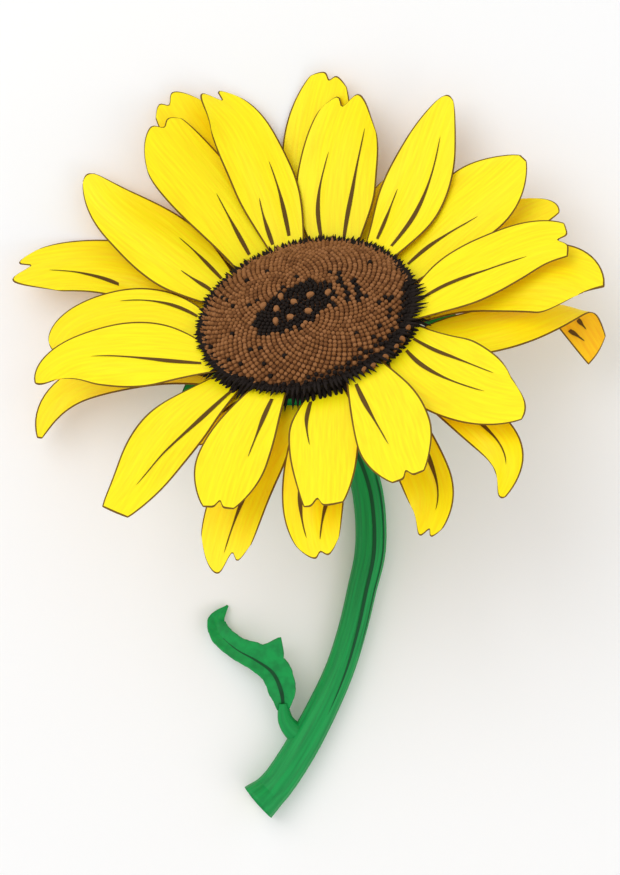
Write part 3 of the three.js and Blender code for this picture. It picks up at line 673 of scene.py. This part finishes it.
def petals():
    counts = {"front": 0, "back": 0}
    for number, entry in enumerate(PETALS):
        row = "front" if entry[0] is FRONT else "back"
        counts[row] += 1
        petal(f"petal_{row}_{counts[row]:02d}", number, entry)


# Bracts: the rise that keeps a tip clear of the floor, or the natural rise where the floor is far.
def bract_rise(angle, length):
    fall = -math.sin(HEAD_LEAN) * math.sin(angle)
    lift = math.cos(HEAD_LEAN)
    base_height = HEAD_MIDDLE[2] + fall * BASE_RADIUS + lift * BRACT["low"]
    steepest = (BRACT_CLEARANCE - base_height) / length
    reach = math.hypot(fall, lift)
    if steepest < -reach:
        return BRACT_RISE
    return max(BRACT_RISE, math.asin(steepest / reach) - math.atan2(fall, lift))


def bract(number):
    angle = BRACT_START + 2 * math.pi * number / BRACT_COUNT
    length = BRACT_LENGTH * (1 + BRACT_VARY * math.cos(BRACT_VARY_STEP * number))
    heading = BRACT_SWAY * math.sin(BRACT_SWAY_STEP * number)
    bends = (heading, bract_rise(angle, length), 0, 0, 0)
    blade = blade_of(BRACT, BRACT["low"], BRACT_TIP, angle, length, BRACT_WIDTH, bends, [], BRACT_FINISH)
    points, faces, marks, grain = blade_sheet(blade, BRACT_ROWS, BRACT_COLUMNS, BRACT_THICK)
    node = f"bract_{number + 1:02d}"
    piece("look_" + node, points, faces, BRACT_LOOKS, marks, [node], grain)


# Turned shapes in the head's frame: the ground of the disc and the green cup behind it.
def lathed(profile, sides, ribs=0, depth=0.0):
    radius, height = np.array(profile, float).T[:, :, None]
    around = np.linspace(0, 2 * np.pi, sides, endpoint=False)[None, :]
    radius = radius * (1 + depth * np.cos(ribs * around))
    points = np.stack([radius * np.cos(around), radius * np.sin(around), height + 0 * around], -1)
    return from_head(points).reshape(-1, 3), grid_faces(len(profile), sides, closed=True, flip=True)


def fine(profile, steps):
    """The same profile with more points on it, rounded by a smooth curve through them."""
    out = []
    padded = [profile[0], *profile, profile[-1]]
    for k in range(len(profile) - 1):
        a, b, c, d = (np.array(padded[k + n], float) for n in range(4))
        for s in np.linspace(0, 1, steps, endpoint=False):
            out.append(0.5 * (2 * b + (c - a) * s + (2 * a - 5 * b + 4 * c - d) * s ** 2
                              + (3 * b - a - 3 * c + d) * s ** 3))
    out.append(np.array(profile[-1], float))
    return [(max(p[0], 0), p[1]) for p in out]


def disc_ground():
    """The ground under the florets, black at the rim as painted shade where it would show between the chaff.
    """
    outline = [(0, DISC_FLOOR), (DISC_RADIUS, DISC_FLOOR), *fine(DISC_DOME, DOME_STEPS)]
    points, faces = lathed(outline, DISC_SIDES)
    in_head = (points - HEAD_MIDDLE) @ HEAD_FRAME.T
    from_axis = np.hypot(in_head[:, 0], in_head[:, 1])
    black = from_axis[faces].min(axis=1) > GAP_SHADE_FROM
    piece("look_disc_ground", points, faces, ["disc", "black"], black, ["disc"])


def receptacle():
    points, faces = lathed(fine(CUP_WALL, CUP_STEPS), CUP_SIDES, CUP_RIBS, CUP_RIB_DEPTH)
    piece("look_receptacle", points, faces, ["leaf"], np.zeros(len(faces)), ["receptacle"])


# Buds: copies of a small shape, each at its place and along its direction.
def bud_shape(rings, sides):
    around = np.linspace(0, 2 * np.pi, sides, endpoint=False)
    points = [np.stack([r * np.cos(around), r * np.sin(around), np.full(sides, h)], -1) for r, h in rings]
    points = np.concatenate(points + [np.array([[0, 0, rings[-1][1] - BUD_DIMPLE]])])
    faces = [list(f) for f in grid_faces(len(rings), sides, closed=True, flip=True)]
    last = (len(rings) - 1) * sides
    faces += [[last + s, last + (s + 1) % sides, len(rings) * sides] for s in range(sides)]
    return points, faces


FLORET = bud_shape(BUD_RINGS, BUD_SIDES)
SEED = bud_shape(BUD_RINGS, SEED_SIDES)
SPIKE = bud_shape(SPIKE_RINGS, SPIKE_SIDES)
# No bud points exactly this way, so it gives each one a direction across it.
NOT_ALONG = np.array([0.3, 0.1, 1.0])


def buds(name, shape, places, directions, wide, tall, marks, replaces, narrow=1.0):
    """Copies of a small shape, each with its place, direction, size and mark, joined into one piece."""
    points, faces = shape
    first = unit(np.cross(directions, NOT_ALONG))
    second = np.cross(directions, first)
    spin = rng.uniform(0, 2 * np.pi, len(places))[:, None]
    first = first * np.cos(spin) + second * np.sin(spin)
    second = np.cross(directions, first)
    all_points = (places[:, None, :]
                  + points[None, :, 0:1] * first[:, None, :] * wide[:, None, None]
                  + points[None, :, 1:2] * second[:, None, :] * wide[:, None, None] * narrow
                  + points[None, :, 2:3] * directions[:, None, :] * tall[:, None, None])
    all_faces = [[c + k * len(points) for c in f] for k in range(len(places)) for f in faces]
    all_marks = np.repeat(marks, len(faces))
    piece(name, all_points.reshape(-1, 3), all_faces, FLORET_LOOKS, all_marks, replaces)


def seeds(name, places, directions, half, mark):
    """Buds that are larger and narrower than the florets, all of one size and look."""
    count = len(places)
    buds(name, SEED, places, directions, np.full(count, half), np.full(count, SEED_HEIGHT),
         np.full(count, mark), [], SEED_NARROW)


def dome_height(radius):
    radii, heights = zip(*reversed(DISC_DOME))
    return np.interp(radius, radii, heights)


def dome_place(radius, angle, lift):
    height = dome_height(radius) + lift
    return from_head(np.stack([radius * np.cos(angle), radius * np.sin(angle), height], -1))


def dome_direction(radius, angle, lean):
    """Directions that stand on the dome and lean out from there."""
    slope = np.arctan(dome_height(radius - 0.5) - dome_height(radius + 0.5))
    outward = np.sin(slope + lean)
    flat = np.stack([np.cos(angle) * outward, np.sin(angle) * outward, np.cos(slope + lean)], -1)
    return unit(flat @ HEAD_FRAME)


def out_from_axis(angle):
    return np.stack([np.cos(angle), np.sin(angle), np.zeros(len(angle))], -1)


def leaning_out(out, lean):
    return unit((out * math.sin(lean) + UP * math.cos(lean)) @ HEAD_FRAME)


# Florets: where the disc is dark, each floret's look, and the florets themselves.
def painted_shade_reach(degrees):
    angles, reaches = zip(*PAINTED_SHADE_REACH)
    return np.interp(degrees % 360, angles, reaches)


def in_dark_oval(x, y, jitter):
    from_x = x - HEART_MIDDLE[0]
    from_y = y - HEART_MIDDLE[1]
    along = from_x * math.cos(HEART_SLANT) + from_y * math.sin(HEART_SLANT)
    across = from_y * math.cos(HEART_SLANT) - from_x * math.sin(HEART_SLANT)
    return (along / HEART_HALVES[0]) ** 2 + (across / HEART_HALVES[1]) ** 2 + HEART_RAGGED * jitter < 1


def in_dark_strokes(x, y):
    inside = np.zeros(len(x), dtype=bool)
    for middle, begin, end in HEART_STROKES:
        bowed = middle - STROKE_BOW * (y - STROKE_MIDDLE) ** 2
        inside |= (np.abs(x - bowed) < STROKE_HALF) & (y > begin) & (y < end)
    return inside


def under_heart_seeds(x, y):
    inside = np.zeros(len(x), dtype=bool)
    for seed_x, seed_y in HEART_SEEDS:
        inside |= np.hypot(x - seed_x, y - seed_y) < SEED_HALF * SEED_NARROW
    return inside


def floret_marks(x, y, radius, degrees, jitter):
    """The look of each floret: brown, tan or umber, and black in the heart, in specks and, as painted shade,
    at the rim.
    """
    draw = rng.uniform(0, 1, len(x))
    marks = np.where(draw < TAN_ODDS, TAN_MARK, np.where(draw < UMBER_ODDS, UMBER_MARK, BROWN_MARK))
    speck_odds = np.full(len(x), SPECKS_FEW)
    for inner, outer, begin, end in SPECK_SIDES:
        beside = (radius > inner) & (radius < outer) & (degrees > begin) & (degrees < end)
        speck_odds[beside] = SPECKS_MANY
    speck = rng.uniform(0, 1, len(x)) < speck_odds
    marks[speck | in_dark_oval(x, y, jitter) | in_dark_strokes(x, y)] = BLACK_MARK
    # Florets where the painted shade of the rim reaches are black, with a few brown.
    reach = painted_shade_reach(degrees)
    in_painted_shade = radius > FLORET_OUTER + PAINTED_SHADE_START - reach - PAINTED_SHADE_RAGGED * np.abs(jitter)
    painted_shade_marks = np.where(draw < PAINTED_SHADE_BROWN_ODDS, BROWN_MARK, BLACK_MARK)
    return np.where(in_painted_shade & (reach > PAINTED_SHADE_LEAST), painted_shade_marks, marks)


def florets():
    """Buds on a spiral over the dome, in two pieces: the open disc, and the heart round its seeds."""
    order = np.arange(1, int((FLORET_OUTER / FLORET_STEP) ** 2))
    radius = FLORET_STEP * np.sqrt(order)
    angle = (order * FLORET_TURN) % (2 * np.pi)
    x = radius * np.cos(angle)
    y = radius * np.sin(angle)
    jitter = rng.normal(0, 1, len(order))
    marks = floret_marks(x, y, radius, np.degrees(angle), jitter)
    tall = FLORET_HEIGHT * (1 + FLORET_HEIGHT_VARY * jitter)
    wide = FLORET_RADIUS * rng.uniform(*FLORET_WIDE, len(order))
    lean = FLORET_LEAN * smooth((radius - FLORET_LEAN_FROM) / FLORET_LEAN_OVER)
    lean = lean + FLORET_LEAN_VARY * rng.normal(0, 1, len(order))
    places = dome_place(radius, angle, BUD_SINK)
    directions = dome_direction(radius, angle, lean)
    in_heart = (x / HEART_HALF_LONG) ** 2 + (y / HEART_HALF_WIDE) ** 2 < 1
    between_seeds = in_heart & ~under_heart_seeds(x, y)
    for name, part, replaced, slot in (("look_disc_florets", ~in_heart, [], "floret"),
                                       ("look_disc_heart", between_seeds, ["disc_heart"], "heart")):
        buds(name, FLORET, places[part], directions[part], wide[part], tall[part], marks[part],
             replaced)


def heart_seeds():
    radius = np.array([math.hypot(x, y) for x, y in HEART_SEEDS])
    angle = np.array([math.atan2(y, x) for x, y in HEART_SEEDS])
    places = dome_place(radius, angle, BUD_SINK)
    seeds("look_heart_seeds", places, dome_direction(radius, angle, 0.0), SEED_HALF, TAN_MARK)


def rim_seeds():
    degrees, radius = np.array(RIM_SEEDS, float).T
    out = out_from_axis(np.radians(degrees))
    places = from_head(out * radius[:, None] + UP * RIM_SEED_LEVEL)
    seeds("look_rim_seeds", places, leaning_out(out, RIM_SEED_LEAN), RIM_SEED_HALF, BROWN_MARK)


def chaff(ring, radius, lean, length, lift):
    """One ring of pointed chaff."""
    angle = (np.arange(CHAFF_COUNT) + 0.5 * ring) * 2 * np.pi / CHAFF_COUNT
    angle = angle + rng.normal(0, CHAFF_STRAY, CHAFF_COUNT)
    reach = painted_shade_reach(np.degrees(angle))
    # Chaff is black as painted shade where the dark rim reaches.
    dark = reach > PAINTED_SHADE_LEAST + CHAFF_BLEND * rng.uniform(0, 1, CHAFF_COUNT)
    marks = np.where(dark | (ring < BLACK_RINGS), BLACK_MARK, rng.integers(0, BLACK_MARK, CHAFF_COUNT))
    longer = CHAFF_LONGER * reach / PAINTED_SHADE_MOST * (ring < LONGER_RINGS)
    tall = (length + longer) * rng.uniform(*CHAFF_LONG, CHAFF_COUNT)
    places = dome_place(np.full(CHAFF_COUNT, radius), angle, lift)
    directions = leaning_out(out_from_axis(angle), lean)
    wide = np.full(CHAFF_COUNT, CHAFF_HALF)
    buds(f"look_rim_chaff_{ring + 1}", SPIKE, places, directions, wide, tall, marks, [])


# Curves through points, rounded the same way as the solids of the stem and the leaf.
CURVE_LEAST = 1e-4


def curve_point(path, share):
    path = np.asarray(path, float)
    last = len(path) - 1
    place = last * share
    k = min(int(place), last - 1)
    part = place - k
    before = path[k - 1] if k > 0 else 2 * path[0] - path[1]
    after = path[k + 2] if k + 2 <= last else 2 * path[last] - path[last - 1]
    a, b = path[k], path[k + 1]
    gaps = [max(np.dot(q - p, q - p) ** 0.25, CURVE_LEAST) for p, q in ((before, a), (a, b), (b, after))]
    first = (a - before) / gaps[0] - (b - before) / (gaps[0] + gaps[1]) + (b - a) / gaps[1]
    second = (b - a) / gaps[1] - (after - a) / (gaps[1] + gaps[2]) + (after - b) / gaps[2]
    first, second = first * gaps[1], second * gaps[1]
    return (a + first * part + (3 * b - 3 * a - 2 * first - second) * part ** 2
            + (2 * a - 2 * b + first + second) * part ** 3)


def curve_direction(path, share):
    low = max(share - CURVE_LEAST, 0)
    high = min(share + CURVE_LEAST, 1)
    return unit(curve_point(path, high) - curve_point(path, low))


def between(values, share):
    return float(np.interp(share * (len(values) - 1), np.arange(len(values)), values))


# Limbs: the round stem and leaf stalk, along places and radii, never lower than the floor.
def limb_at(path, share, upright=False):
    """The middle and radius of a limb at a share of its length, and the two directions across it."""
    line = [p[:3] for p in path]
    radius = between([p[3] for p in path], share)
    along = curve_direction(line, share)
    if upright:
        along = unit(along * LEVEL)
    right = unit(np.cross(along, UP))
    above = np.cross(right, along)
    middle = curve_point(line, share)
    middle[2] = max(middle[2], radius)
    return middle, radius, right, above


def limb_skin(path, skin, upright_end=True):
    """Points round a limb, whose ribs drift slowly; an upright end is cut straight down."""
    around = np.linspace(0, 2 * np.pi, skin["sides"], endpoint=False)
    points = []
    for i in range(skin["rings"] + 1):
        share = i / skin["rings"]
        middle, radius, right, above = limb_at(path, share, i == skin["rings"] and upright_end)
        relief = skin["depth"] * (np.cos(skin["ribs"] * around + RIB_DRIFT * share) ** RIB_SHARP - 1)
        relief = relief + UNEVEN_DEPTH * np.cos(UNEVEN_LOBES * around + UNEVEN_DRIFT * share)
        swell = (radius + relief)[:, None]
        points.append(middle + right * np.cos(around)[:, None] * swell
                      + above * np.sin(around)[:, None] * swell)
    return np.array(points)


def limb_grain(skin, grain):
    """Each point's place in the grain, which has so many units round the limb and so many along it."""
    around = np.tile(np.arange(skin["sides"]) / skin["sides"], skin["rings"] + 1)
    share = np.repeat(np.arange(skin["rings"] + 1) / skin["rings"], skin["sides"])
    return np.stack([around * grain[0], share * grain[1]], -1)


def stem():
    """The ribbed stem, its cut end closed by rings of flesh and pith."""
    sides = STEM_SKIN["sides"]
    skin = limb_skin(STEM_PATH, STEM_SKIN)
    end = skin[-1].mean(axis=0)
    end_way = unit(curve_direction([p[:3] for p in STEM_PATH], 1.0) * LEVEL)
    points = [skin.reshape(-1, 3)]
    faces = [grid_faces(STEM_SKIN["rings"] + 1, sides, closed=True)]
    marks = [np.zeros(len(faces[0]))]
    ring = np.arange(sides)
    after = (ring + 1) % sides
    first = STEM_SKIN["rings"] * sides
    for size, stands_out, mark in CUT_RINGS:
        points.append(end + (skin[-1] - end) * size + end_way * stands_out)
        start = first + sides
        faces.append(np.stack([first + ring, start + ring, start + after, first + after], -1))
        marks.append(np.full(sides, mark))
        first = start
    all_faces = [list(f) for f in np.concatenate(faces)] + [list(first + ring)]
    all_marks = np.append(np.concatenate(marks), PITH_MARK)
    grain = limb_grain(STEM_SKIN, STEM_GRAIN)
    grain = np.concatenate([grain, np.tile(grain[-sides:], (len(CUT_RINGS), 1))])
    piece("look_stem", np.concatenate(points), all_faces, ["stem", "flesh", "pith"], all_marks, ["stem"],
          grain)


def stem_furrow(number, from_share, to_share, from_turn, to_turn, half_wide):
    """A lengthwise furrow's painted shade, laid along the stem's skin as a dark narrow tapered strip."""
    strip = []
    for i in range(FURROW_ROWS):
        part = i / (FURROW_ROWS - 1)
        middle, radius, right, above = limb_at(STEM_PATH, from_share + (to_share - from_share) * part)
        turn = math.radians(from_turn + (to_turn - from_turn) * part)
        wide = half_wide * min(1, FURROW_WIDENS * part) * (1 - part ** FURROW_TAPER) / radius
        for step in (-1, 0, 1):
            at = turn + step * wide
            swell = radius + FURROW_LIFT
            strip.append(middle + right * math.cos(at) * swell + above * math.sin(at) * swell)
    faces = grid_faces(FURROW_ROWS, 3)
    along = np.repeat(np.arange(FURROW_ROWS) / FURROW_GRAIN_ROWS, 3)
    grain = np.stack([np.tile(FURROW_GRAIN, FURROW_ROWS), along], -1)
    piece(f"look_stem_furrow_{number}", np.array(strip), faces, ["painted_furrow_shade"], np.zeros(len(faces)), [],
          grain)


def leaf_stalk():
    """The leaf's short ribbed stalk, closed at both ends."""
    sides = STALK_SKIN["sides"]
    last = STALK_SKIN["rings"] * sides
    skin = limb_skin(STALK_PATH, STALK_SKIN, upright_end=False)
    faces = [list(f) for f in grid_faces(STALK_SKIN["rings"] + 1, sides, closed=True)]
    faces += [list(range(last, last + sides)), list(reversed(range(sides)))]
    piece("look_leaf_stalk", skin.reshape(-1, 3), faces, ["stem"], np.zeros(len(faces)), ["leaf_stalk"],
          limb_grain(STALK_SKIN, STALK_GRAIN))


# Leaf: a blade folded along its midrib, with a toothed edge and side veins, and a dark strip of painted shade
# on the midrib.
def leaf_point(share, side, lift=0.0):
    """A point of the leaf at a share of its length and a side from -1 to 1."""
    tooth = LEAF_TOOTH["reach"] * max(0, 1 - abs(share - LEAF_TOOTH["at"]) / LEAF_TOOTH["spread"])
    left = unit(np.cross(UP, curve_direction(LEAF_SPINE, share)))
    wide = between(LEAF_LEFT, share) if side > 0 else between(LEAF_RIGHT, share) + tooth * side ** 2
    saw = (share * LEAF_NOTCHES) % 1
    wide = wide * (1 - LEAF_NOTCH_DEPTH * abs(side) ** 3 * saw)
    wave = math.cos(2 * math.pi * (share * LEAF_VEIN["count"] - abs(side) * LEAF_VEIN["slant"]))
    vein = LEAF_VEIN["height"] * wave * abs(side) * (1 - abs(side))
    height = LEAF_FOLD * abs(side) * wide + vein + lift
    return curve_point(LEAF_SPINE, share) + left * side * wide + UP * height


def leaf_blade():
    sheet = np.array([[leaf_point(i / LEAF_ROWS, 2 * j / LEAF_SIDES - 1) for j in range(LEAF_SIDES + 1)]
                      for i in range(LEAF_ROWS + 1)])
    points, faces = closed_sheet(sheet, LEAF_THICK / 2)
    faces = np.concatenate(faces)
    piece("look_leaf_blade", points, faces, ["leaf"], np.zeros(len(faces)), ["leaf_blade"])


# The midrib is a dark strip of painted shade in the fold's groove.
def leaf_midrib():
    strip = []
    last = MIDRIB["rows"] - 1
    for i in range(MIDRIB["rows"]):
        share = MIDRIB["from"] + MIDRIB["long"] * i / last
        half = MIDRIB["half"] * (1 - i / last) + MIDRIB["end"]
        for side in (-half, 0, half):
            strip.append(leaf_point(share, side, LEAF_THICK / 2 + MIDRIB["lift"]))
    faces = grid_faces(MIDRIB["rows"], 3)
    piece("look_leaf_rib", np.array(strip), faces, ["vein"], np.zeros(len(faces)), [])


# The flower, always in this order, because florets, seeds and chaff draw from one random generator.
petals()
for number in range(BRACT_COUNT):
    bract(number)
disc_ground()
receptacle()
florets()
heart_seeds()
rim_seeds()
for ring, values in enumerate(CHAFF_RINGS):
    chaff(ring, *values)
stem()
for number, values in enumerate(FURROWS, 1):
    stem_furrow(number, *values)
leaf_stalk()
leaf_blade()
leaf_midrib()

# Floor, light and camera: a pale floor under soft light, seen from straight above, with lengths in metres.
FLOOR_SIZE = 8
FLOOR_WHITE = (0.9, 0.9, 0.9)
FLOOR_ROUGHNESS = 0.9
SKY_WHITE = (1, 1, 1, 1)
SKY_STRENGTH = 0.8
LAMP_AIM = Vector((0, 0, 0.04))
LAMPS = [{"name": "key", "place": (-0.6, 0.5, 1.2), "size": 1.1, "power": 6.5},
         {"name": "fill", "place": (0.9, -0.8, 0.9), "size": 0.9, "power": 3.0}]
CAMERA_MIDDLE = Vector((0.0009, 0.0029, 0.045))
CAMERA_HEIGHT = 1.6
CAMERA_NEAR = 0.05
CAMERA_FAR = 20
SENSOR = 36
PHOTO_TALL = 0.35


def floor_and_sky():
    bpy.ops.mesh.primitive_plane_add(size=FLOOR_SIZE)
    floor = bpy.context.object
    floor.name = "floor"
    floor.data.materials.append(plain("floor_white", FLOOR_WHITE, FLOOR_ROUGHNESS))
    world = bpy.data.worlds.new("studio")
    world.use_nodes = True
    sky = world.node_tree.nodes["Background"]
    sky.inputs["Color"].default_value = SKY_WHITE
    sky.inputs["Strength"].default_value = SKY_STRENGTH
    bpy.context.scene.world = world


def lamp(name, place, size, power):
    light = bpy.data.lights.new(name, "AREA")
    light.shape = "DISK"
    light.size = size
    light.energy = power
    holder = bpy.data.objects.new(name, light)
    holder.location = place
    holder.rotation_euler = (LAMP_AIM - Vector(place)).to_track_quat("-Z", "Y").to_euler()
    bpy.context.scene.collection.objects.link(holder)


floor_and_sky()
for values in LAMPS:
    lamp(**values)
lens = bpy.data.cameras.new("camera")
lens.sensor_width = SENSOR
lens.lens = SENSOR * CAMERA_HEIGHT / PHOTO_TALL
lens.clip_start = CAMERA_NEAR
lens.clip_end = CAMERA_FAR
camera = bpy.data.objects.new("camera", lens)
camera.location = CAMERA_MIDDLE + Vector((0, 0, CAMERA_HEIGHT))
bpy.context.scene.collection.objects.link(camera)
bpy.context.scene.camera = camera
bpy.context.scene.view_settings.view_transform = "Standard"
